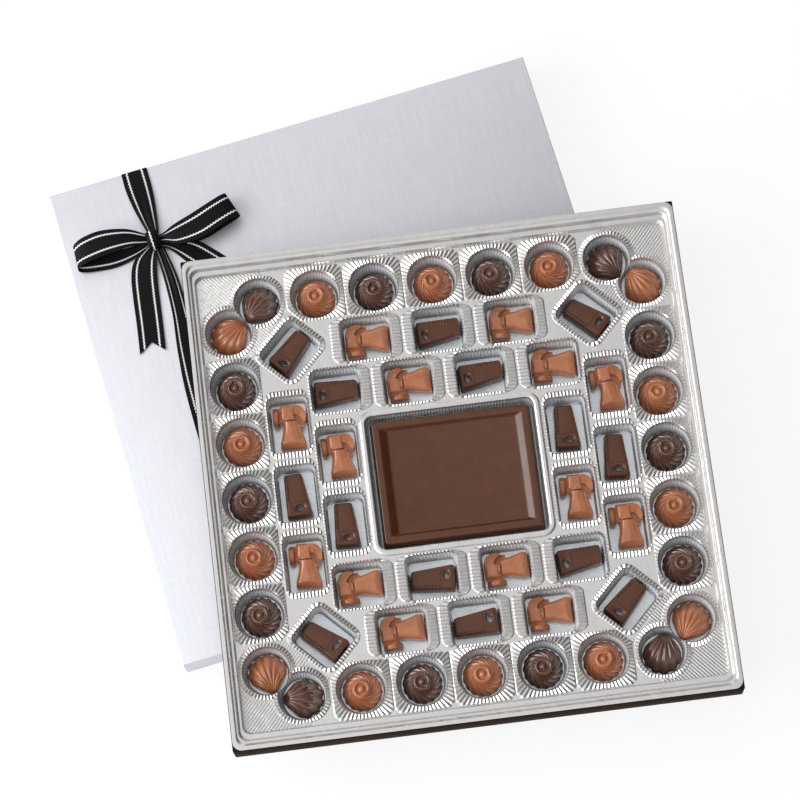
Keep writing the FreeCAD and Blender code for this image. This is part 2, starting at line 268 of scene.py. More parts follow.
# metallised polystyrene, vacuum formed: a silver skin with mirror-like ridges and faint draw marks
# the cups' walls are greyer and duller, because the metal is stretched thin there
def makeFoil():
    material, add = newMaterial("metallised_polystyrene")
    where = add("TexCoord").outputs["Object"]
    axes = add("SeparateXYZ", links={0: where})
    # from the floors of the cups to the deck
    height = add("MapRange", {1: 27 * mm, 2: 40.5 * mm, 3: 0.0, 4: 1.0}, {0: axes.outputs["Z"]})
    metal = add("ValToRGB", links={"Fac": height})
    blendStops(metal, (0.0, "#CFCFCF"), (0.06, "#CFCFCF"), (0.15, "#595959"), (0.67, "#595959"),
               (0.99, "#EDEDED"))
    tint = add("ValToRGB", links={"Fac": height})
    blendStops(tint, (0.67, "#DFE3E6"), (0.99, "#D4D2D0"))
    ripple = add("TexNoise", {"Scale": 1 / (9 * mm), "Detail": 5.0, "Roughness": 0.6}, {"Vector": where})
    bump = add("Bump", {"Strength": 0.6, "Distance": 0.6 * mm}, {"Height": ripple})
    rough = add("MapRange", {1: 0.3, 2: 0.7, 3: 0.25, 4: 0.33}, {0: ripple})
    skin = add("BsdfPrincipled", {},
                   {"Base Color": tint, "Metallic": metal, "Normal": bump, "Roughness": rough})
    add("OutputMaterial", links={"Surface": skin})
    return material


foil = makeFoil()


# coated brown paper, calendered: dark and nearly matt, with a fine leather grain
def makeBrownPaper():
    material, add = newMaterial("brown_coated_paper")
    where = add("TexCoord").outputs["Object"]
    grain = add("TexVoronoi", {"Scale": 1 / (1.1 * mm)}, {"Vector": where})
    cloud = add("TexNoise", {"Scale": 1 / (25 * mm), "Detail": 5.0}, {"Vector": where})
    tint = add("ValToRGB", links={"Fac": cloud})
    blendStops(tint, (0.3, "#22160F"), (0.7, "#2D1D15"))
    bump = add("Bump", {"Strength": 0.25, "Distance": 0.12 * mm}, {"Height": grain})
    skin = add("BsdfPrincipled", {"Roughness": 0.7, "Specular IOR Level": 0.03},
                   {"Base Color": tint, "Normal": bump})
    add("OutputMaterial", links={"Surface": skin})
    return material


brownPaper = makeBrownPaper()


# metallised paper with a fine line emboss: pale satin silver, streaked along the lid's depth
# the real lines are about 0.4 mm apart, and are drawn at 0.9 mm so that they show
def makeSilverPaper(turn):
    material, add = newMaterial("silver_line_paper")
    where = add("TexCoord").outputs["Object"]
    square = add("Mapping", {"Rotation": (0, 0, math.radians(-turn))}, {"Vector": where})
    along = (1 / (0.9 * mm), 1 / (22 * mm), 1 / (22 * mm))
    drawn = add("Mapping", {"Scale": along}, {"Vector": square})
    streak = add("TexNoise", {"Scale": 1.0, "Detail": 3.0}, {"Vector": drawn})
    across = (1 / (16 * mm), 1 / (1.2 * mm), 1 / (1.2 * mm))
    crossed = add("Mapping", {"Scale": across}, {"Vector": square})
    faint = add("TexNoise", {"Scale": 1.0, "Detail": 2.0}, {"Vector": crossed})
    both = add("Math", {"operation": "MULTIPLY_ADD", 1: 0.5}, {0: faint, 2: streak})
    tint = add("ValToRGB", links={"Fac": both})
    blendStops(tint, (0.5, "#CED0D5"), (1.0, "#D8DADF"))
    bump = add("Bump", {"Strength": 0.14, "Distance": 0.06 * mm}, {"Height": both})
    skin = add("BsdfPrincipled", {"Metallic": 0.7, "Roughness": 0.45}, {"Base Color": tint, "Normal": bump})
    add("OutputMaterial", links={"Surface": skin})
    return material


# recycled greyboard, pressed: dull grey-brown with paler and darker fibres
def makeGreyboard():
    material, add = newMaterial("greyboard")
    where = add("TexCoord").outputs["Object"]
    fibre = add("TexNoise", {"Scale": 1 / (1.5 * mm), "Detail": 6.0}, {"Vector": where})
    tint = add("ValToRGB", links={"Fac": fibre})
    blendStops(tint, (0.35, "#8A8378"), (0.65, "#A59E92"))
    bump = add("Bump", {"Strength": 0.3, "Distance": 0.1 * mm}, {"Height": fibre})
    skin = add("BsdfPrincipled", {"Roughness": 0.9}, {"Base Color": tint, "Normal": bump})
    add("OutputMaterial", links={"Surface": skin})
    return material


# where the base and the lid lie, as in the solids: z of the base is its underside
base = {"x": 38.8489, "y": -56.0989, "z": 24.7, "side": 300.0, "height": 21.95}
lid = {"x": -11.8511, "y": 29.1011, "side": 306.1, "height": 24.2, "turn": 9.86}
paper = {"wall": 2.15, "turnIn": 12.0, "sheet": 0.25, "fold": 0.55}
silverPaper = makeSilverPaper(lid["turn"])
greyboard = makeGreyboard()
print("materials made")


# Covers of the base and the lid: a paper tray whose edges turn in over the walls
def paperCover(name, side, height):
    block(-side / 2, side / 2, -side / 2, side / 2, 0, height)
    cover = startEditing(name)
    choose(cover, "FACE", lambda face: face.normal.z > 0.9)
    bpy.ops.mesh.delete(type="FACE")
    choose(cover, "EDGE", lambda edge: middleOf(edge).z > (height - 0.1) * mm and edge.is_boundary)
    inner = 1 - 2 * paper["wall"] / side
    bpy.ops.mesh.extrude_region_move()
    scaleAcross(inner, inner, height)
    extrudeBy(0, 0, -paper["turnIn"])
    choose(cover, "EDGE", lambda edge: not edge.is_boundary)
    bevel(paper["fold"], 3)
    selectAll()
    bpy.ops.mesh.remove_doubles(threshold=0.002 * mm)
    stopEditing()
    modify(cover, "SOLIDIFY", thickness=paper["sheet"] * mm, offset=-1.0)
    return cover


baseCover = paperCover("base_cover", base["side"], base["height"])
baseCover.data.transform(placeAt(base["x"], base["y"], base["z"]))
smooth(baseCover, 35)
settle(baseCover, "base", "brown_paper", brownPaper, "base_wrap")

lidCover = paperCover("lid_cover", lid["side"], lid["height"])
lidPlace = placeAt(lid["x"], lid["y"]) @ turnZ(lid["turn"])
lidCover.data.transform(lidPlace @ placeAt(0, 0, lid["height"]) @ Matrix.Rotation(math.pi, 4, "X"))
smooth(lidCover, 35)
settle(lidCover, "lid", "silver_paper", silverPaper, "lid_wrap")

for nodeName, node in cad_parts.items():
    if "_wall_" in nodeName or "_panel" in nodeName or "_stays" in nodeName:
        node.data.materials.clear()
        node.data.materials.append(greyboard)
print("covers made")


# Insert: pleated cups pressed into a flat deck inside a stepped rim, with z = 0 at the deck
insert = {
    "sheet": 0.5, "level": 15.85, "cupFloor": 2.45, "crease": 14,
    "roundCup": 30.0, "roundPleats": 50, "shellCup": 28.6, "barLip": 3.6,
    # mouths of the cups; toolPleats and barCup end in the corner's radius, its steps and half a pleat
    "rowCup": (27.0, 30.6), "columnCup": (24.8, 34.5), "toolPleats": (4.0, 6, 1.02),
    "barCup": (101.9, 82.4, 5.0, 12, 0.8),
    "deckHalf": (142.05, 139.3), "deckCorner": 5.0, "deckCornerSteps": 10,
    "rimSteps": (
        (142.15, 139.4, 0.3), (142.85, 140.2, 2.5), (143.1, 140.5, 2.8), (144.35, 143.2, 2.8),
        (144.5, 143.4, 3.1), (145.2, 144.2, 5.3), (145.5, 144.5, 5.6), (146.4, 146.0, 5.7),
        (147.3, 147.3, 6.6), (149.3, 149.4, 6.66), (149.55, 149.65, 6.62),
    ),
}
# rings of a cup from the deck inwards: share of the flare, inset, height, pleat depth outwards and upwards
skirtRings = (
    (1.0, 0.0, 0.0, 0.0, 0.0), (0.86, 0.0, 0.34, 0.0, 0.3), (0.5, 0.0, 0.55, 0.0, 0.4),
    (0.1, 0.0, 0.65, 0.06, 0.36), (0.0, 0.1, -0.1, 0.3, 0.05),
)
toolRings = skirtRings + ((0.0, 1.05, -12.8, 0.1, 0.0), (0.0, 1.9, -13.5, 0.0, 0.0))
roundRings = skirtRings + (
    (0.0, 0.9, -7.0, 0.16, 0.0), (0.0, 2.0, -12.6, 0.06, 0.0), (0.0, 2.5, -13.5, 0.0, 0.0),
)
barRings = (
    (1.0, 0.0, 0.0, 0.0, 0.0), (0.86, 0.0, 0.85, 0.0, 0.0), (0.66, 0.0, 1.2, 0.0, 0.0),
    (0.2, 0.0, 1.2, 0.0, 0.0), (0.0, 0.0, 0.8, 0.06, 0.0), (0.0, 0.25, -0.6, 0.18, 0.0),
    (0.0, 1.1, -11.2, 0.08, 0.0), (0.0, 1.7, -11.6, 0.0, 0.0),
)
# how far the pleats run out from the mouths; the tools' cups have right, left, top and bottom
skirts = {
    "rowSwirl": 8.0, "columnSwirl": 7.4, "shell": 3.2,
    "row": (1.2, 1.2, 6.2, 6.2), "endRow": (1.2, 1.2, 6.2, 1.1),
    "diagonal": (2.8, 2.6, 2.8, 2.8), "column": (1.0, 1.0, 3.8, 3.8),
    # straight lines that hold the round ones back: a direction and a distance past the mouth
    "rowLimits": [(1, 0, 2.75), (-1, 0, 2.75), (0, 1, 2.95), (0, -1, 1.2)], "rowNear": 3.0,
    "columnLimits": [(0, 1, 2.3), (0, -1, 2.3), (-1, 0, 1.0), (1, 0, 1.15)], "columnNear": 4.9,
    "shellLimits": ((138.4, 1.9), (-138.4, 1.9), (131.6, 2.5), (-131.6, 2.5)),
}
# places in the box, from its middle, as in the solids; shellStep is from one shell of a corner to the other
at = {
    "swirlRow": 121.1, "swirlRowPitch": 35.7, "swirlColumn": 125.65, "swirlColumnPitch": 34.9,
    "outerRow": 89.8, "innerRow": 60.0, "rowPitch": 43.8,
    "outerColumn": 95.95, "innerColumn": 68.85, "columnPitch": 42.7,
    "shellInRow": 106.4, "shellInColumn": 104.0, "shellStep": (19.25, 17.1), "diagonal": (89.95, 88.3),
}


def roundedOutline(name, length, width, corner, cornerSteps, spacing):
    outline = startPlane(name, length, width)
    selectAll()
    bevel(corner, cornerSteps, "VERTICES")
    selectAll()
    bpy.ops.mesh.delete(type="ONLY_FACE")
    if spacing:
        for along, straight in ((0, length - 2 * corner), (1, width - 2 * corner)):
            choose(outline, "EDGE", lambda edge: abs(abs(runOf(edge)[along]) - straight * mm) < 0.05 * mm)
            cuts = 2 * round(straight / spacing / 2) - 1
            bpy.ops.mesh.subdivide(number_cuts=cuts)
    return outline


def pleatLayers(mesh):
    layers = mesh.verts.layers
    return [layers.int["pleat"]] + [layers.float_vector[name] for name in ("home", "outward", "flare")]


def pleatCup(cup, flareOf, rings):
    mesh = bmesh.from_edit_mesh(cup.data)
    mesh.verts.layers.int.new("pleat")
    for name in ("home", "outward", "flare"):
        mesh.verts.layers.float_vector.new(name)
    side, home, outward, flare = pleatLayers(mesh)
    mesh.verts.ensure_lookup_table()
    point, came, order = mesh.verts[0], None, []
    while not order or point != order[0]:
        order.append(point)
        nextEdge = next(edge for edge in point.link_edges if edge != came)
        point, came = nextEdge.other_vert(point), nextEdge
    for index, point in enumerate(order):
        run = order[(index + 1) % len(order)].co - order[index - 1].co
        out = Vector((run.y, -run.x, 0)).normalized()
        if out.dot(point.co) < 0:
            out = -out
        point[side] = 1 if index % 2 else -1
        point[home] = point.co
        point[outward] = out
        point[flare] = flareOf(out)
    bmesh.update_edit_mesh(cup.data)
    selectAll()
    for number, (share, inset, height, pleatOut, pleatUp) in enumerate(rings):
        if number:
            bpy.ops.mesh.extrude_region_move()
        mesh = bmesh.from_edit_mesh(cup.data)
        side, home, outward, flare = pleatLayers(mesh)
        for point in mesh.verts:
            if point.select:
                sign = point[side]
                out = point[outward] * ((sign * pleatOut - inset) * mm)
                spot = point[home] + point[flare] * share + out
                point.co = (spot.x, spot.y, (height + sign * pleatUp) * mm)
        bmesh.update_edit_mesh(cup.data)
    bpy.ops.mesh.edge_face_add()
    faceOutwards()
    mesh = bmesh.from_edit_mesh(cup.data)
    floor = min(mesh.faces, key=lambda face: face.calc_center_median().z)
    if floor.normal.z < 0:
        bpy.ops.mesh.flip_normals()
    stopEditing()
    return cup


def roundCup(name, diameter, width, limits):
    radius = diameter / 2
    count = 2 * insert["roundPleats"]
    clearSelection()
    bpy.ops.mesh.primitive_circle_add(vertices=count, radius=radius * mm, fill_type="NOTHING")
    cup = startEditing(name)

    def flareOf(out):
        reach = width
        for x, y, past in limits:
            along = out.x * x + out.y * y
            if along > 0.3:
                reach = min(reach, (radius + past) / along - radius)
        return out * (reach * mm)

    return pleatCup(cup, flareOf, roundRings)


def toolCup(name, size, right, left, top, bottom):
    cup = roundedOutline(name, *size, *insert["toolPleats"])

    def flareOf(out):
        x = out.x * (right if out.x > 0 else left)
        y = out.y * (top if out.y > 0 else bottom)
        return Vector((x, y, 0)) * mm

    return pleatCup(cup, flareOf, toolRings)


def shellCups(name):
    # two round cups that run into each other, cut off halfway and joined
    limits = [(math.cos(math.radians(angle)), math.sin(math.radians(angle)), past)
              for angle, past in skirts["shellLimits"]]
    cup = roundCup(name, insert["shellCup"], skirts["shell"], limits)
    halfGap = math.hypot(*at["shellStep"]) / 2
    activate(cup)
    edit()
    cutAt((halfGap, 0, 0), (1, 0, 0), clear_outer=True)
    stopEditing()
    cup.data.transform(placeAt(-halfGap, 0))
    pair = joinAs([cup, copyTo(cup, 0, 0, 0, 180)], name)
    edit()
    selectAll()
    bpy.ops.mesh.remove_doubles(threshold=0.01 * mm)
    stopEditing()
    return pair


def placeCups():
    # the swirls' skirts are square, and hold back from a diagonal cup where one is near
    swirlCups = {}
    slant = 0.707
    for near in (-1, 0, 1):
        for line, aim in (("row", (slant * near, -slant)), ("column", (-slant, slant * near))):
            limits = skirts[line + "Limits"] + ([(*aim, skirts[line + "Near"])] if near else [])
            width = skirts[line + "Swirl"]
            swirlCups[line, near] = roundCup(line + "SwirlCup", insert["roundCup"], width, limits)
    shellPair = shellCups("shellPair")
    rowCup = toolCup("rowCup", insert["rowCup"], *skirts["row"])
    endRowCup = toolCup("endRowCup", insert["rowCup"], *skirts["endRow"])
    diagonalCup = toolCup("diagonalCup", insert["rowCup"], *skirts["diagonal"])
    columnCup = toolCup("columnCup", insert["columnCup"], *skirts["column"])
    barCup = roundedOutline("barCup", *insert["barCup"])
    pleatCup(barCup, lambda out: out * (insert["barLip"] * mm), barRings)
    cups = []
    for step in range(-2, 3):
        for way in (1, -1):
            turn = 0 if way > 0 else 180
            near = way * step // 2 if abs(step) == 2 else 0
            cups += [
                (swirlCups["row", near], step * at["swirlRowPitch"], way * at["swirlRow"], turn),
                (swirlCups["column", near], way * at["swirlColumn"], step * at["swirlColumnPitch"], turn),
            ]
    for sideX in (1, -1):
        for sideY in (1, -1):
            x = sideX * (at["shellInRow"] + at["swirlColumn"]) / 2
            y = sideY * (at["swirlRow"] + at["shellInColumn"]) / 2
            turn = math.degrees(math.atan2(-sideY * at["shellStep"][1], sideX * at["shellStep"][0]))
            cups += [
                (shellPair, x, y, turn),
                (diagonalCup, sideX * at["diagonal"][0], sideY * at["diagonal"][1], 90 - 45 * sideX * sideY),
                (endRowCup, sideX * 1.5 * at["rowPitch"], sideY * at["innerRow"], 90 * sideX),
                (rowCup, sideX * 0.5 * at["rowPitch"], sideY * at["innerRow"], 90),
                (rowCup, sideX * at["rowPitch"], sideY * at["outerRow"], 90),
                (columnCup, sideX * at["outerColumn"], sideY * at["columnPitch"], 0),
                (columnCup, sideX * at["innerColumn"], sideY * at["columnPitch"] / 2, 0),
            ]
        cups += [(rowCup, 0, sideX * at["outerRow"], 90), (columnCup, sideX * at["outerColumn"], 0, 0)]
    sheets = [barCup] + [copyTo(model, x, y, 0, turn) for model, x, y, turn in cups]
    discard(*{model for model, x, y, turn in cups})
    return sheets


def makeRim():
    # two rounded steps up from the deck to a flange that lies on the walls
    reach, level = insert["deckHalf"], 0
    size = [2 * half for half in reach]
    rim = roundedOutline("insertRim", *size, insert["deckCorner"], insert["deckCornerSteps"], 0)
    selectAll()
    for x, y, height in insert["rimSteps"]:
        extrudeBy(0, 0, height - level)
        scaleAcross(x / reach[0], y / reach[1], height)
        reach, level = (x, y), height
    stopEditing()
    return rim


def fillDeck(tray):
    # the deck fills what lies between the mouths of the cups and the foot of the rim
    # the fill operator leaves gaps among so many cups, so the triangles are found here
    edit()
    mesh = bmesh.from_edit_mesh(tray.data)
    flat = 0.02 * mm
    edges = {edge for edge in mesh.edges
             if edge.is_boundary and max(abs(point.co.z) for point in edge.verts) < flat}
    points = sorted({point for edge in edges for point in edge.verts}, key=lambda point: tuple(point.co))
    number = {point: index for index, point in enumerate(points)}
    links = sorted((number[edge.verts[0]], number[edge.verts[1]]) for edge in edges)
    mouths = {}
    for start in points:
        trail = [start]
        while trail:
            point = trail.pop()
            if point not in mouths:
                mouths[point] = start
                trail += [edge.other_vert(point) for edge in point.link_edges if edge in edges]
    mouthEdges = {start: [] for start in mouths.values()}
    for one, two in links:
        mouthEdges[mouths[points[one]]].append((points[one].co, points[two].co))

    def overMouth(corners):
        starts = {mouths[point] for point in corners}
        start = starts.pop()
        if starts or start == mouths[points[-1]]:
            return False
        spot = sum((point.co for point in corners), Vector()) / 3
        inside = False
        for one, two in mouthEdges[start]:
            if (one.y > spot.y) != (two.y > spot.y):
                inside ^= spot.x < one.x + (two.x - one.x) * (spot.y - one.y) / (two.y - one.y)
        return inside

    found = delaunay_2d_cdt([point.co.xy / mm for point in points], links, [], 1, 1e-5)
    for triangle in found[2]:
        corners = [points[found[3][corner][0]] for corner in triangle]
        if not overMouth(corners):
            mesh.faces.new(corners)
    bmesh.update_edit_mesh(tray.data)
    faceOutwards()
    mesh = bmesh.from_edit_mesh(tray.data)
    seams = [edge for edge in mesh.edges if abs(middleOf(edge).z) < flat]
    openEdges = sum(edge.is_boundary for edge in seams)
    forked = sum(len(edge.link_faces) > 2 for edge in seams)
    print("deck has", openEdges, "open edges and", forked, "forked")
    if max(mesh.faces, key=lambda face: face.calc_area()).normal.z < 0:
        bpy.ops.mesh.flip_normals()
    stopEditing()
    for name in ("pleat", "home", "outward", "flare"):
        tray.data.attributes.remove(tray.data.attributes[name])


cupSheets = placeCups()
tray = joinAs([makeRim()] + cupSheets, "insert_tray_sheet")
fillDeck(tray)
modify(tray, "SOLIDIFY", thickness=insert["sheet"] * mm, offset=-1.0, use_rim=True)
print("insert sheet has", trianglesOf(tray), "triangles")

# fine ridges along the corner diagonals: they keep clear of the shells' and the tool's cups
ridgePatch = {
    "size": (70, 54), "cells": (24, 64), "crest": 0.28, "valley": 0.02, "sheet": 0.25,
    "middle": (116.0, 112.5), "turn": 48.4, "start": (89.6, 87.6),
    "pastTool": 16.4, "pastShells": (16.8, 16.4),
}


def cornerRidges():
    columns, rows = ridgePatch["cells"]
    clearSelection()
    bpy.ops.mesh.primitive_grid_add(x_subdivisions=columns, y_subdivisions=rows, size=1)
    bpy.ops.transform.resize(value=(ridgePatch["size"][0] * mm, ridgePatch["size"][1] * mm, 1))
    applyPlace()
    ridges = startEditing("cornerRidges")
    mesh = bmesh.from_edit_mesh(ridges.data)
    lines = sorted({round(point.co.y / mm, 3) for point in mesh.verts})
    for point in mesh.verts:
        odd = lines.index(round(point.co.y / mm, 3)) % 2
        point.co.z = ridgePatch["crest" if odd else "valley"] * mm
    bmesh.update_edit_mesh(ridges.data)
    stopEditing()
    ridges.data.transform(placeAt(*ridgePatch["middle"]) @ turnZ(ridgePatch["turn"]))
    edit()
    for x, y in ((1, 0), (0, 1)):
        edge = insert["deckHalf"][y] + 0.1
        cutAt((x * edge, y * edge, 0), (x, y, 0), clear_outer=True)
    shells = ((at["shellInRow"], at["swirlRow"]), (at["swirlColumn"], at["shellInColumn"]))
    aim = Vector((math.cos(math.radians(45)), math.sin(math.radians(45))))
    bend = [half - insert["deckCorner"] for half in insert["deckHalf"]]

    def outside(face):
        spot = face.calc_center_median() / mm
        if spot.x < ridgePatch["start"][0] or spot.y < ridgePatch["start"][1]:
            return True
        for (x, y), reach in zip(shells, ridgePatch["pastShells"]):
            if math.hypot(spot.x - x, spot.y - y) < reach:
                return True
        past = Vector((spot.x - at["diagonal"][0], spot.y - at["diagonal"][1])).dot(aim)
        corner = math.hypot(max(spot.x - bend[0], 0), max(spot.y - bend[1], 0))
        return past < ridgePatch["pastTool"] or corner > insert["deckCorner"]

    choose(ridges, "FACE", outside)
    bpy.ops.mesh.delete(type="FACE")
    stopEditing()
    corners = []
    for sideX in (1, -1):
        for sideY in (1, -1):
            corner = copyTo(ridges, 0, 0)
            corner.data.transform(Matrix.Diagonal((sideX, sideY, 1, 1)))
            if sideX * sideY < 0:
                corner.data.flip_normals()
            corners.append(corner)
    discard(ridges)
    patch = joinAs(corners, "insert_corner_ridges")
    modify(patch, "SOLIDIFY", thickness=ridgePatch["sheet"] * mm, offset=-1.0)
    return patch


for sheet in (tray, cornerRidges()):
    sheet.data.transform(placeAt(base["x"], base["y"], base["z"] + insert["level"]))
    smooth(sheet, insert["crease"])
    settle(sheet, "insert", "metallised_plastic", foil, "insert_tray")
print("insert made")


# Chocolates, each modelled on z = 0 at the middle of its cup

def ridgeWave(turns):
    # a rounded crest and a narrow valley, from -1 to 1
    return 1 - 2 * abs(math.sin(math.pi * turns)) ** 5


def petalWave(turns):
    # each petal swells slowly and ends in a sharp step, from -1 to 1
    return 2 * ((turns + 1e-6) % 1) ** 0.8 - 1


def ringTo(piece, place):
    bpy.ops.mesh.extrude_region_move()
    mesh = bmesh.from_edit_mesh(piece.data)
    ridge = mesh.verts.layers.float["ridge"]
    home = mesh.verts.layers.float_vector["home"]
    for point in mesh.verts:
        if point.select:
            point.co = place(point[home], point[ridge])
    bmesh.update_edit_mesh(piece.data)


def startRing(name, count, shape, ridgeAt):
    clearSelection()
    bpy.ops.mesh.primitive_circle_add(vertices=count, radius=1, fill_type="NOTHING")
    piece = startEditing(name)
    mesh = bmesh.from_edit_mesh(piece.data)
    mesh.verts.layers.float.new("ridge")
    mesh.verts.layers.float_vector.new("home")
    ridge = mesh.verts.layers.float["ridge"]
    home = mesh.verts.layers.float_vector["home"]
    for point in mesh.verts:
        angle = math.atan2(point.co.y, point.co.x)
        point[ridge] = ridgeAt(angle)
        point[home] = shape(angle)
        point.co = point[home]
    bmesh.update_edit_mesh(piece.data)
    selectAll()
    bpy.ops.mesh.edge_face_add()
    return piece


def closeTop(piece):
    bpy.ops.mesh.merge(type="CENTER")
    faceOutwards()
    stopEditing()
    for name in ("ridge", "home"):
        piece.data.attributes.remove(piece.data.attributes[name])
    modify(piece, "SUBSURF", levels=1, render_levels=1)
    return piece


# rings of a swirl: share of the radius, share of the height, turn of the ridges, their depth,
# and how far the ring curls in
swirl = {
    "radius": 12.7, "height": 12.6, "lobes": 15,
    "rings": (
        (0.95, 0.0, 0, 0.12, 0), (1.0, 0.1, 0, 0.15, 0), (1.0, 0.22, -6, 0.15, 0), (0.95, 0.4, -15, 0.15, 0),
        (0.88, 0.54, -25, 0.15, 0), (0.79, 0.67, -37, 0.15, 0), (0.69, 0.78, -50, 0.15, 0.02),
        (0.59, 0.86, -65, 0.15, 0.05), (0.51, 0.895, -80, 0.12, 0.1), (0.46, 0.87, -90, 0.06, 0.15),
        (0.42, 0.89, -98, 0.02, 0.2), (0.385, 0.975, -104, 0.0, 0.22), (0.33, 1.0, -110, 0.0, 0.25),
        (0.275, 0.98, -116, 0.0, 0.28), (0.22, 0.88, -122, 0.0, 0.3), (0.17, 0.87, -126, 0.0, 0.3),
        (0.13, 0.95, -130, 0.0, 0.25), (0.07, 0.985, -136, 0.0, 0.1), (0.02, 0.99, -140, 0.0, 0.0),
    ),
}


def makeSwirl():
    radius = swirl["radius"] * mm
    piece = startRing("swirlModel", 4 * swirl["lobes"],
                      lambda angle: Vector((math.cos(angle), math.sin(angle), 0)) * radius,
                      lambda angle: petalWave(swirl["lobes"] * angle / math.tau))
    for share, rise, turn, depth, curl in swirl["rings"]:

        def place(home, ridge):
            inwards = curl * (math.atan2(home.y, home.x) / math.tau)
            lift = rise * swirl["height"] * (1 + 0.9 * depth * (ridge - 1) / 2)
            spot = turnZ(turn) @ home
            return spot * (share * (1 + depth * (ridge - 1) / 2 + inwards)) + Vector((0, 0, lift * mm))

        ringTo(piece, place)
    return closeTop(piece)


# rings of a shell, drawn in towards its hinge: scale, share of the height and depth of the ribs
# askew turns the milk shells, then the dark ones, away from their mates
shell = {
    "width": 23.6, "length": 24.2, "height": 11.5, "points": 96, "ribs": 9, "fan": 140.0,
    "hinge": -11.4, "hingeCut": 0.96, "point": 0.5, "askew": ((-10, 15, -10, -36), (-16, 33, 4, 39)),
    "rings": (
        (0.98, 0.0, 0.03), (1.0, 0.1, 0.04), (0.985, 0.24, 0.05), (0.94, 0.45, 0.055), (0.86, 0.66, 0.06),
        (0.75, 0.83, 0.06), (0.61, 0.95, 0.06), (0.47, 1.0, 0.06), (0.34, 0.98, 0.06), (0.21, 0.9, 0.05),
        (0.1, 0.78, 0.04), (0.03, 0.68, 0.02),
    ),
}


def makeShell():
    fan = math.radians(shell["fan"])
    hinge = Vector((0, shell["hinge"] * mm, 0))

    def shape(angle):
        narrow = 1 - shell["point"] * max(-math.sin(angle), 0) ** 1.5  # the sides run in towards the hinge
        x = shell["width"] / 2 * narrow * math.cos(angle)
        y = shell["length"] / 2 * max(math.sin(angle), -shell["hingeCut"])
        return Vector((x, y, 0)) * mm

    def ridgeAt(angle):
        away = (angle - math.pi / 2 + math.pi) % math.tau - math.pi
        if abs(away) > fan:
            return 0.0
        return ridgeWave(shell["ribs"] * (away + fan) / (2 * fan))

    piece = startRing("shellModel", shell["points"], shape, ridgeAt)
    for scale, rise, depth in shell["rings"]:

        def place(home, ridge):
            spot = hinge + (home - hinge) * (scale * (1 + depth * (ridge - 1) / 2))
            ahead = (home - hinge).normalized().y
            dome = 0.42 + 0.58 * max(ahead, 0) ** 0.6 if rise > 0 else 1
            lift = rise * shell["height"] * dome * (1 + 1.2 * depth * (ridge - 1) / 2)
            return spot + Vector((0, 0, lift * mm))

        ringTo(piece, place)
    return closeTop(piece)


# a claw hammer: head at +Y with its face at -X and its claw drooping at +X, handle flaring towards -Y
# each block goes from x to x, y to y and z to z
hammer = {
    "handle": (-5.2, 4.9, -13.4, 7.0, 0, 9.0), "head": (-4.9, 5.0, 3.5, 13.0, 0, 10.4),
    "neck": (-7.4, -4.0, 3.0, 11.4, 0, 7.8), "clawRoot": (2.5, 5.2, 5.8, 12.6, 0, 9.8),
    "web": (2.6, 8.8, -0.4, 8.4, 0, 7.6), "groove": (-5.5, 4.2, 2.9, 3.6, 8.0, 12),
    "rounding": 3.0, "crest": 1.1, "crestAt": 0.5, "crestSlant": 0.09, "slopeFrom": 5.4,
    "pollAt": (-7.8, 6.5, 4.4), "pollRadius": 5.8, "pollDepth": 3.6, "pollEdge": 0.8,
    "hollowAt": (5.9, 3.6, 11.2), "hollowRadius": 1.7, "hollowDepth": 12, "hollowLong": 2.35,
    "hollowTurn": 37, "grain": 0.4, "keep": 0.32, "trim": 0.15,
    # how far the handle's two sides move out, row by row from its end to the head
    "sides": ((-1.1, 4.1), (-1.0, 4.3), (0.0, 3.3), (0.9, 2.4), (1.3, 1.9), (1.3, 1.4), (0.0, 0.1)),
    # steps of the claw: along x and y, turn, and how much thinner
    "claw": ((1.7, -0.6, -24, 0.92), (1.2, -1.8, -26, 0.86), (0.5, -2.3, -22, 0.76), (0.0, -2.1, -10, 0.7)),
}


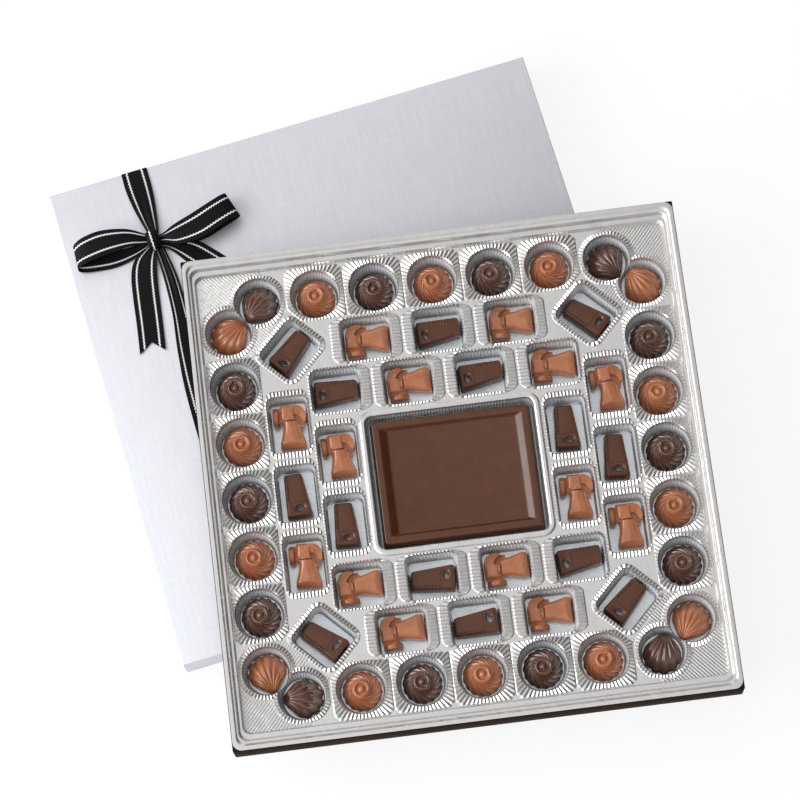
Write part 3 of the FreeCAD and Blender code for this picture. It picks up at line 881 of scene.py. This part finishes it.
def makeHammer():
    end, neckEnd, top = hammer["handle"][2], hammer["handle"][3], hammer["handle"][5] - 0.5
    rows = len(hammer["sides"]) - 1
    block(*hammer["handle"])
    handle = startEditing("handle")
    choose(handle, "EDGE", lambda edge: abs(runOf(edge).y) > 10 * mm)
    bpy.ops.mesh.subdivide(number_cuts=rows - 1)
    for row, (left, right) in enumerate(hammer["sides"]):
        y = end + row * (neckEnd - end) / rows
        for way, out in ((-1, left), (1, right)):
            choose(handle, "VERT", lambda point: abs(point.co.y / mm - y) < 0.5 and point.co.x * way > 0)
            bpy.ops.transform.translate(value=(out * mm, 0, 0))

    def onCrest(point):
        x, y, z = point.co / mm
        return abs(x - hammer["crestAt"] + hammer["crestSlant"] * y) < 0.2 and z > top

    def longEdge(edge):
        return lowestOf(edge) > top * mm and abs(middleOf(edge).x) > 2.4 * mm and abs(runOf(edge).y) > 2 * mm

    cutAt((hammer["crestAt"], 0, 0), (1, hammer["crestSlant"], 0))  # a crest along the middle of the handle
    choose(handle, "VERT", onCrest)
    bpy.ops.transform.translate(value=(0, 0, hammer["crest"] * mm))
    choose(handle, "EDGE", longEdge)
    bevel(hammer["rounding"], 4)
    # the end slopes off
    cutAt((0, end, hammer["slopeFrom"]), (0, -0.8, 0.6), clear_outer=True, use_fill=True)
    stopEditing()

    block(*hammer["head"])
    head = startEditing("head")
    choose(head, "EDGE", lambda edge: middleOf(edge).z > 10 * mm)
    bevel(hammer["rounding"], 4)
    stopEditing()
    neck = block(*hammer["neck"])

    clearSelection()
    bpy.ops.mesh.primitive_cylinder_add(vertices=40, radius=hammer["pollRadius"] * mm,
                                        depth=hammer["pollDepth"] * mm, rotation=(0, math.pi / 2, 0),
                                        location=[value * mm for value in hammer["pollAt"]])
    applyPlace()
    poll = startEditing("poll")
    choose(poll, "EDGE", lambda edge: abs(runOf(edge).x) < 0.1 * mm)
    bevel(hammer["pollEdge"], 2)
    cutAt((0, 0, 0), (0, 0, -1), clear_outer=True, use_fill=True)
    stopEditing()

    # the claw is drawn out from the head in steps that narrow and droop
    block(*hammer["clawRoot"])
    claw = startEditing("claw")
    choose(claw, "FACE", lambda face: face.normal.x > 0.9)
    for x, y, turn, thin in hammer["claw"]:
        extrudeBy(x, y, 0)
        mesh = bmesh.from_edit_mesh(claw.data)
        points = [point for point in mesh.verts if point.select]
        centre = sum((point.co for point in points), Vector()) / len(points)
        for point in points:
            spot = turnZ(turn) @ (point.co - centre)
            point.co = Vector((centre.x + spot.x * thin, centre.y + spot.y * thin, point.co.z * 0.96))
        bmesh.update_edit_mesh(claw.data)
    stopEditing()

    web = block(*hammer["web"])  # fills the bend of the claw
    piece = joinAs([handle, head, neck, poll, claw, web], "hammerModel")
    modify(piece, "REMESH", mode="VOXEL", voxel_size=hammer["grain"] * mm)
    clearSelection()
    bpy.ops.mesh.primitive_cylinder_add(vertices=28, radius=hammer["hollowRadius"] * mm,
                                        depth=hammer["hollowDepth"] * mm)
    hollow = bpy.context.object
    hollow.data.transform(Matrix.Diagonal((1, hammer["hollowLong"], 1, 1)))
    hollow.data.transform(placeAt(*hammer["hollowAt"]) @ turnZ(hammer["hollowTurn"]))
    carve(piece, hollow)
    carve(piece, block(*hammer["groove"]))
    modify(piece, "SMOOTH", factor=0.5, iterations=8)
    modify(piece, "DECIMATE", ratio=hammer["keep"])
    edit()
    cutAt((0, 0, hammer["trim"]), (0, 0, -1), clear_outer=True, use_fill=True)
    stopEditing()
    piece.data.transform(placeAt(0, 0, -hammer["trim"]))
    return piece


# a hand saw: tapering blade to +Y, holed handle at -Y, teeth along one edge
saw = {
    "length": 27.0, "wide": 16.0, "narrow": 11.4, "lean": 0.3, "height": 10.0, "draft": (0.93, 0.955),
    "corner": 1.7, "bevel": 1.5, "hole": (5.0, 3.2), "holeAt": (1.2, -8.2), "holeTurn": 12.0, "lip": 1.5,
    "lineAt": -4.6, "lineWidth": 0.44, "lineDepth": 0.45, "teeth": 9, "tooth": 0.9, "toothInset": 1.3,
}


def makeSaw():
    taper, height = saw["wide"] - saw["narrow"], saw["height"]
    piece = startPlane("sawModel", saw["wide"], saw["length"])
    choose(piece, "VERT", lambda point: point.co.y > 0)
    scaleAcross(saw["narrow"] / saw["wide"], 1)
    # the toothed edge is the straighter one
    bpy.ops.transform.translate(value=(-saw["lean"] * taper * mm, 0, 0))
    selectAll()
    bevel(saw["corner"], 4, "VERTICES")
    selectAll()
    extrudeBy(0, 0, height)
    scaleAcross(*saw["draft"], height)
    faceOutwards()
    choose(piece, "EDGE", lambda edge: lowestOf(edge) > (height - 0.1) * mm)
    bevel(saw["bevel"], 4)
    stopEditing()

    for upper, depth in ((1, 40), (2 * saw["lip"] - 1, 1.5)):  # the hole, then the slope of its lip
        clearSelection()
        bpy.ops.mesh.primitive_cone_add(vertices=28, radius1=1, radius2=upper, depth=depth * mm,
                                        rotation=(0, 0, math.radians(saw["holeTurn"])),
                                        location=[value * mm for value in (*saw["holeAt"], height)])
        bpy.ops.transform.resize(value=(saw["hole"][0] / 2 * mm, saw["hole"][1] / 2 * mm, 1))
        carve(piece, bpy.context.object)
    near, far = saw["lineAt"] - saw["lineWidth"] / 2, saw["lineAt"] + saw["lineWidth"] / 2
    carve(piece, block(-9, 9, near, far, height - saw["lineDepth"], height + 1))

    teeth = []
    for step in range(saw["teeth"]):
        along = saw["lineAt"] + 1.8 + step * (saw["length"] / 2 - 2.2 - saw["lineAt"]) / saw["teeth"]
        edge = -saw["wide"] / 2 + 0.2 * taper * (along / saw["length"] + 0.5)
        spot = (saw["draft"][0] * edge + saw["toothInset"], along, height - 0.05)
        clearSelection()
        bpy.ops.mesh.primitive_uv_sphere_add(segments=10, ring_count=6, radius=saw["tooth"] * mm,
                                             location=[value * mm for value in spot])
        bpy.ops.transform.resize(value=(1.1, 0.8, 0.8))
        applyPlace()
        teeth.append(bpy.context.object)
    return joinAs([piece] + teeth, "sawModel")


# the centre bar: a raised frame round a plain sunken panel
bar = {
    "length": 97.5, "width": 78.0, "height": 10.5, "draft": 1.6, "frame": 3.9, "panel": 3.0,
    "panelDraft": (4.6, 2.0), "corner": 2.0, "edge": 0.8, "lift": 4.35,
}


def makeBar():
    piece = startPlane("centre_bar_chocolate", bar["length"], bar["width"])
    selectAll()
    extrudeBy(0, 0, bar["height"])
    scaleAcross(1 - 2 * bar["draft"] / bar["length"], 1 - 2 * bar["draft"] / bar["width"], bar["height"])
    bpy.ops.mesh.inset(thickness=bar["frame"] * mm)
    extrudeBy(0, 0, -bar["panel"])
    panelLength = bar["length"] - 2 * bar["draft"] - 2 * bar["frame"]
    panelWidth = bar["width"] - 2 * bar["draft"] - 2 * bar["frame"]
    scaleAcross(1 - 2 * bar["panelDraft"][0] / panelLength, 1 - 2 * bar["panelDraft"][1] / panelWidth)
    faceOutwards()
    choose(piece, "EDGE", lambda edge: abs(runOf(edge).z) > 5 * mm)
    bevel(bar["corner"], 5)
    stopEditing()
    modify(piece, "BEVEL", width=bar["edge"] * mm, segments=4, limit_method="ANGLE",
           angle_limit=math.radians(22))
    return piece


def swirlSpots(dark):
    spots = []
    for step in range(-2, 3):
        for way in (1, -1):
            if (step % 2 != 0) == dark:
                spots.append((step * at["swirlRowPitch"], way * at["swirlRow"], 37 * step + 90 * way))
            else:
                spots.append((way * at["swirlColumn"], step * at["swirlColumnPitch"], 53 * step + 60 * way))
    return spots


def shellSpots(dark):
    spots = []
    for sideX in (1, -1):
        for sideY in (1, -1):
            inRow = Vector((sideX * at["shellInRow"], sideY * at["swirlRow"]))
            inColumn = Vector((sideX * at["swirlColumn"], sideY * at["shellInColumn"]))
            here, other = (inRow, inColumn) if dark else (inColumn, inRow)
            away = here - other
            turn = math.degrees(math.atan2(-away.x, away.y))
            spots.append((here.x, here.y, turn + shell["askew"][dark][len(spots)]))
    return spots


def hammerSpots():
    spots = []
    for way in (1, -1):
        for x in (1, -1):
            spots.append((x * at["rowPitch"], way * at["outerRow"], 90))
            spots.append((way * at["outerColumn"], x * at["columnPitch"], 0))
        for x in (-0.5, 1.5):
            spots.append((way * x * at["rowPitch"], way * at["innerRow"], 90))
        spots.append((-way * at["innerColumn"], way * 0.5 * at["columnPitch"], 0))
    return spots


def sawSpots():
    spots = []
    for way in (1, -1):
        spots.append((0, way * at["outerRow"], -90 * way))
        spots.append((way * at["outerColumn"], 0, 0))
        spots.append((way * 0.5 * at["rowPitch"], way * at["innerRow"], -90 * way))
        spots.append((-way * 1.5 * at["rowPitch"], way * at["innerRow"], -90))
        spots.append((way * at["innerColumn"], way * 0.5 * at["columnPitch"], 0))
        for other in (1, -1):
            spots.append((way * at["diagonal"][0], other * at["diagonal"][1], 45 * way * other))
    return spots


# each kind: how it is made, its places, slot, material, the angle where shading breaks, how far askew it lies
seat = base["z"] + insert["cupFloor"]
kinds = {
    "milk_swirl": (makeSwirl, swirlSpots(False), "milk_chocolate", milkChocolate, 60, 0),
    "dark_swirl": (makeSwirl, swirlSpots(True), "dark_chocolate", darkChocolate, 60, 0),
    "milk_shell": (makeShell, shellSpots(False), "milk_chocolate", milkChocolate, 60, 0),
    "dark_shell": (makeShell, shellSpots(True), "dark_chocolate", darkChocolate, 60, 0),
    "milk_hammer": (makeHammer, hammerSpots(), "milk_chocolate", milkChocolate, 50, 3),
    "dark_saw": (makeSaw, sawSpots(), "dark_chocolate", barChocolate, 35, 4),
}
for kind, (make, spots, slot, material, degrees, lay) in kinds.items():
    model, name, copies = make(), kind + "_pieces", []
    for number, (x, y, turn) in enumerate(spots):
        loose = lay * math.sin(2.4 * number + len(name))
        copies.append(copyTo(model, base["x"] + x, base["y"] + y, seat, turn + loose))
    piece = joinAs(copies, name)
    discard(model)
    smooth(piece, degrees)
    settle(piece, kind + "s", slot, material, kind + "s")
    print(name, "has", len(spots), "pieces and", trianglesOf(piece), "triangles")

barPiece = makeBar()
barPiece.data.transform(placeAt(base["x"], base["y"], base["z"] + bar["lift"]))
smooth(barPiece, 18)
settle(barPiece, "centre_bar", "dark_chocolate", barChocolate, "centre_bar")
print("chocolates made")


# grosgrain ribbon: black, finely ribbed across, with two pale zigzag stitched lines
# the real ribs are 0.5 mm apart and the stitches 1.2 mm long
# they are drawn at 0.9 mm and 2 mm so that they show
ribbon = {"width": 16.0, "thickness": 0.4, "across": 14, "steps": 7, "rib": 0.9, "stitch": 2.0}


def makeGrosgrain():
    material, add = newMaterial("black_grosgrain")
    axes = add("SeparateXYZ", links={0: add("UVMap", {"uv_map": "weave"})}).outputs
    centred = add("Math", {"operation": "SUBTRACT", 1: 0.5}, {0: axes["X"]})
    fromMiddle = add("Math", {"operation": "ABSOLUTE"}, {0: centred})
    halfStitch = ribbon["stitch"] / 2 / ribbon["width"]
    zigzag = add("Math", {"operation": "PINGPONG", 1: halfStitch}, {0: axes["Y"]})
    weave = add("Math", {"operation": "MULTIPLY_ADD", 1: 0.75, 2: 0.272}, {0: zigzag})
    offLine = add("Math", {"operation": "SUBTRACT"}, {0: fromMiddle, 1: weave})
    gap = add("Math", {"operation": "ABSOLUTE"}, {0: offLine})
    thread = add("MapRange", {1: 0.021, 2: 0.033, 3: 1.0, 4: 0.0}, {0: gap})
    tint = add("ValToRGB", links={"Fac": thread})
    blendStops(tint, (0.0, "#050408"), (1.0, "#EAE7E5"))
    halfRib = ribbon["rib"] / 2 / ribbon["width"]
    ribs = add("Math", {"operation": "PINGPONG", 1: halfRib}, {0: axes["Y"]})
    height = add("Math", {"operation": "MULTIPLY_ADD", 1: 20.0}, {0: ribs, 2: thread})
    bump = add("Bump", {"Strength": 0.4, "Distance": 0.15 * mm}, {"Height": height})
    skin = add("BsdfPrincipled", {"Roughness": 0.6, "Specular IOR Level": 0.15},
                   {"Base Color": tint, "Normal": bump})
    add("OutputMaterial", links={"Surface": skin})
    return material


grosgrain = makeGrosgrain()
# Ribbon and bow: each station has the strip's two edges in the lid's own frame, then how deep it is gathered
strips = {
    "ribbon_band_strip": {"node": "ribbon_band", "held": "laid", "stations": (
        (-106.5, 153.27, 1.2, -90.5, 153.27, 1.2, 0), (-106.5, 153.27, 12, -90.5, 153.27, 12, 0),
        (-106.5, 153.27, 23.2, -90.5, 153.27, 23.2, 0), (-106.5, 152.9, 24.3, -90.5, 152.9, 24.3, 0),
        (-106.6, 151, 24.5, -90.4, 151, 24.5, 0), (-106.6, 142, 25.2, -90.4, 142, 24.8, 0.1),
        (-105.4, 131, 26.2, -91.2, 131, 25.4, 0.2), (-103.2, 120, 26.8, -93, 118, 26.4, 0.5),
        (-100.9, 111, 27.2, -94.6, 110, 27.2, 0.8), (-99.6, 105, 27, -95.6, 105, 27, 0.9),
        (-99.4, 95, 26.4, -93.2, 96, 26.4, 0.8), (-99.3, 79, 25.7, -90.8, 79, 25.4, 0.5),
        (-100.5, 57, 24.6, -90.6, 60, 24.6, 0.1), (-104, 32, 24.42, -91, 34, 24.42, 0),
        (-106.3, 0, 24.42, -90.5, 0, 24.42, 0), (-106.5, -75, 24.42, -90.5, -75, 24.42, 0),
        (-106.5, -150, 24.42, -90.5, -150, 24.42, 0), (-106.5, -152.9, 24.3, -90.5, -152.9, 24.3, 0),
        (-106.5, -153.27, 23.2, -90.5, -153.27, 23.2, 0), (-106.5, -153.27, 12, -90.5, -153.27, 12, 0),
        (-106.5, -153.27, 1.2, -90.5, -153.27, 1.2, 0),
    )},
    "bow_left_loop": {"node": "bow_loop_left", "held": "gathered", "stations": (
        (-98.8, 107.6, 28.4, -98.8, 103.6, 28.6, 0.6), (-105.5, 111.8, 31.0, -106, 103.6, 31.4, 0.5),
        (-114, 116, 33.2, -115, 104, 33.4, 0.2), (-128, 118.9, 34.2, -128, 103.4, 33.8, 0),
        (-138.8, 118.2, 33.8, -139.1, 102.4, 33.2, 0), (-144.8, 116.6, 32, -145.8, 101.6, 31.4, 0),
        (-147, 115, 29.4, -147.8, 100.4, 28.8, 0), (-145.6, 113.8, 26.8, -146, 99, 26.4, 0),
        (-139, 112.8, 25.4, -138.5, 97.6, 25.2, 0), (-126, 111, 25, -125, 96.4, 24.9, 0),
        (-113, 108.6, 25.4, -112.5, 98.5, 25.4, 0.2), (-101, 107, 26.8, -101, 102.6, 26.8, 0.5),
    )},
    "bow_right_loop": {"node": "bow_loop_right", "held": "gathered", "stations": (
        (-97.6, 106.6, 28.4, -97.6, 103.2, 28.4, 0.6), (-91.5, 107.4, 30.6, -91.8, 101.6, 30.2, 0.5),
        (-84.5, 109.8, 32.8, -83.6, 97.2, 31.8, 0.2), (-71, 113.2, 34.2, -69.8, 96.8, 33.4, 0),
        (-58, 117.2, 34.5, -56.6, 100.6, 33.9, 0), (-50.6, 119.4, 33.6, -46.6, 103.6, 33, 0),
        (-48.4, 119.8, 31.2, -43.8, 104.4, 30.6, 0), (-50, 119, 28.6, -45.4, 103.6, 28, 0),
        (-58, 116.6, 26.6, -55.6, 101, 26.4, 0), (-71, 112.6, 26, -69, 97.6, 25.8, 0),
        (-84, 109, 26.2, -83.4, 99, 26, 0.2), (-95, 106.6, 27, -95, 102.6, 27, 0.5),
    )},
    "bow_left_tail": {"node": "bow_tail_left", "held": "gathered", "notch": 6.5, "stations": (
        (-99.4, 104, 27.8, -97.2, 103, 27.8, 0.7), (-106, 101, 27.8, -99, 98.5, 27.6, 0.5),
        (-113.6, 96.3, 27, -100.4, 93, 27, 0.2), (-118, 88, 25.8, -102.6, 84, 25.8, 0),
        (-120.6, 75, 25, -104.8, 71.5, 25, 0), (-123.2, 57, 24.8, -107.4, 54.5, 24.8, 0),
        (-126.2, 38.6, 25.2, -110.4, 36.8, 25.2, 0),
    )},
    "bow_right_tail": {"node": "bow_tail_right", "held": "gathered", "notch": 6.5, "stations": (
        (-97.4, 104.4, 27.4, -98, 101.4, 27.4, 0.7), (-88, 102.5, 26.4, -92, 98.6, 26.2, 0.4),
        (-79.5, 101, 25.2, -87.5, 93.6, 25.0, 0.1), (-71.5, 97, 24.6, -82.5, 86.6, 24.5, 0),
        (-62.2, 87, 24.42, -73.6, 76, 24.42, 0), (-50.5, 73, 24.42, -62, 62, 24.42, 0),
    )},
    "bow_knot_wrap": {"node": "bow_knot", "held": "folded", "folds": 1, "widthSeen": (0.0, 0.56),
                      "stations": (
        (-102.4, 108.6, 25.4, -95, 108.8, 25.4, 0.4), (-103, 110.6, 28, -94.6, 110.8, 28, 0.7),
        (-102.8, 109.2, 31.4, -94.6, 109.4, 31.4, 1.0), (-102.6, 105.2, 32.2, -94.6, 105.4, 32.2, 1.1),
        (-102.4, 101.4, 31.2, -94.6, 101.6, 31.2, 1.0), (-102.2, 99.6, 28.2, -94.8, 99.8, 28.2, 0.7),
        (-101.6, 100.8, 25.6, -95.2, 101, 25.6, 0.4),
    )},
}


def smoothRun(stations, steps):
    # a smooth run through every station
    rows = []
    last = len(stations) - 1
    for index in range(last):
        before, here = stations[max(index - 1, 0)], stations[index]
        there, after = stations[index + 1], stations[min(index + 2, last)]
        for step in range(steps):
            t = step / steps
            rows.append([
                0.5 * (2 * b + (c - a) * t + (2 * a - 5 * b + 4 * c - d) * t * t
                       + (3 * b - a - 3 * c + d) * t ** 3)
                for a, b, c, d in zip(before, here, there, after)
            ])
    return rows + [list(stations[last])]


def ribbonStrip(name, stations, node, held, notch=0, folds=4, widthSeen=(0.0, 1.0)):
    # folds counts the gathers across, and widthSeen is the share of the ribbon's width that shows
    rows = smoothRun(stations, ribbon["steps"])
    middles = [(Vector(row[0:3]) + Vector(row[3:6])) / 2 for row in rows]
    lengths = [0]
    for one, two in zip(middles, middles[1:]):
        lengths.append(lengths[-1] + (two - one).length)
    total = lengths[-1]
    mesh = bmesh.new()
    weave = mesh.loops.layers.uv.new("weave")
    grid, marks = [], {}
    for number, row in enumerate(rows):
        line = []
        for column in range(ribbon["across"] + 1):
            across = column / ribbon["across"]
            # the end is cut to a swallow tail
            reach = lengths[number] * (1 - notch * (1 - abs(2 * across - 1)) / total)
            index = max(i for i in range(len(rows) - 1) if lengths[i] <= reach + 1e-9)
            share = (reach - lengths[index]) / (lengths[index + 1] - lengths[index])
            here = [a + (b - a) * share for a, b in zip(rows[index], rows[index + 1])]
            left, right = Vector(here[0:3]), Vector(here[3:6])
            up = (right - left).cross(middles[index + 1] - middles[index]).normalized()
            spot = left.lerp(right, across) - up * (here[6] * math.sin(folds * math.pi * across))
            point = mesh.verts.new(spot * mm)
            marks[point] = (widthSeen[0] + across * (widthSeen[1] - widthSeen[0]), reach / ribbon["width"])
            line.append(point)
        grid.append(line)
    for low, high in zip(grid, grid[1:]):
        for column in range(ribbon["across"]):
            face = mesh.faces.new((low[column], low[column + 1], high[column + 1], high[column]))
            for loop in face.loops:
                loop[weave].uv = marks[loop.vert]
    data = bpy.data.meshes.new(name)
    mesh.to_mesh(data)
    mesh.free()
    data.transform(lidPlace)
    piece = bpy.data.objects.new(name, data)
    scene.collection.objects.link(piece)
    modify(piece, "SOLIDIFY", thickness=ribbon["thickness"] * mm, offset=0.0)
    smooth(piece, 60)
    settle(piece, "lid", "ribbon", grosgrain, node)
    widest = max((Vector(row[0:3]) - Vector(row[3:6])).length for row in rows)


for name, strip in strips.items():
    ribbonStrip(name, **strip)
print("ribbon and bow made")


# Floor, light and camera, for a picture of 800 x 800
# the floor and the lamps are in metres; floorBelow and the camera's spot are in millimetres
studio = {
    "floor": 8, "floorBelow": 0.2, "paper": "#FCFCFC", "glow": 0.85,
    "brightest": (-0.55, -0.2, 0.81), "worldStrength": 1.15,
    "softboxes": {
        "leftSoftbox": {"place": (-1.4, -0.2, 0.85), "aim": (-0.1, -0.05, 0),
                        "size": (1.7, 0.8), "watts": 27},
        "backSoftbox": {"place": (0.3, 1.7, 1.2), "aim": (0, 0, 0), "size": (1.6, 1.0), "watts": 7},
    },
    "lens": 139.29, "sensor": 36, "farthest": 20, "spot": (12.67, -475.83, 1834.15),
    "right": (0.99226, -0.11984, -0.03245), "up": (0.12415, 0.96006, 0.25076),
    "back": (0.0011, -0.25285, 0.96751),
}


# matt white paper: it keeps the shadow, and shows white to the eye and in reflections
def makeFloor():
    clearSelection()
    bpy.ops.mesh.primitive_plane_add(size=studio["floor"], location=(0, 0, -studio["floorBelow"] * mm))
    floor = bpy.context.object
    floor.name = "floor"
    material, add = newMaterial("white_paper_sweep")
    paint = add("BsdfDiffuse", {"Color": linear(studio["paper"])})
    glow = add("Emission", {"Color": (1, 1, 1, 1), "Strength": 1.0})
    path = add("LightPath").outputs
    shown = add("Math", {"operation": "MAXIMUM"}, {0: path["Is Camera Ray"], 1: path["Is Glossy Ray"]})
    seen = add("Math", {"operation": "MAXIMUM"}, {0: shown, 1: path["Is Transmission Ray"]})
    share = add("Math", {"operation": "MULTIPLY", 1: studio["glow"]}, {0: seen})
    both = add("MixShader", links={0: share, 1: paint, 2: glow})
    add("OutputMaterial", links={"Surface": both})
    floor.data.materials.append(material)


def softbox(name, place, aim, size, watts):
    light = bpy.data.lights.new(name, "AREA")
    light.shape = "RECTANGLE"
    light.size, light.size_y = size
    light.energy = watts
    lamp = bpy.data.objects.new(name, light)
    scene.collection.objects.link(lamp)
    lamp.location = place
    lamp.rotation_euler = (Vector(place) - Vector(aim)).to_track_quat("Z", "Y").to_euler()
    lamp.visible_camera = False


# a soft room: brightest above and to the left, dark low on the right
def makeWorld():
    world = bpy.data.worlds.new("studio")
    world.use_nodes = True
    scene.world = world
    world.node_tree.nodes.clear()
    add = partial(addNode, world.node_tree)
    where = add("TexCoord").outputs["Generated"]
    side = add("VectorMath", {"operation": "DOT_PRODUCT", 1: studio["brightest"]}, {0: where})
    shade = add("ValToRGB", links={"Fac": side.outputs["Value"]})
    blendStops(shade, (0.0, "#3E3B39"), (0.3, "#6C6966"), (0.6, "#CBCBCC"), (0.8, "#F4F4F5"))
    sky = add("Background", {"Strength": studio["worldStrength"]}, {"Color": shade})
    add("OutputWorld", links={"Surface": sky})


makeFloor()
makeWorld()
for name, settings in studio["softboxes"].items():
    softbox(name, **settings)

cameraData = bpy.data.cameras.new("camera")
cameraData.lens = studio["lens"]
cameraData.sensor_width = studio["sensor"]
cameraData.clip_end = studio["farthest"]
camera = bpy.data.objects.new("camera", cameraData)
scene.collection.objects.link(camera)
spot = [value * mm for value in studio["spot"]]
rows = zip(studio["right"], studio["up"], studio["back"], spot)
camera.matrix_world = Matrix([*rows, (0, 0, 0, 1)])
scene.camera = camera
print("floor, light and camera made")
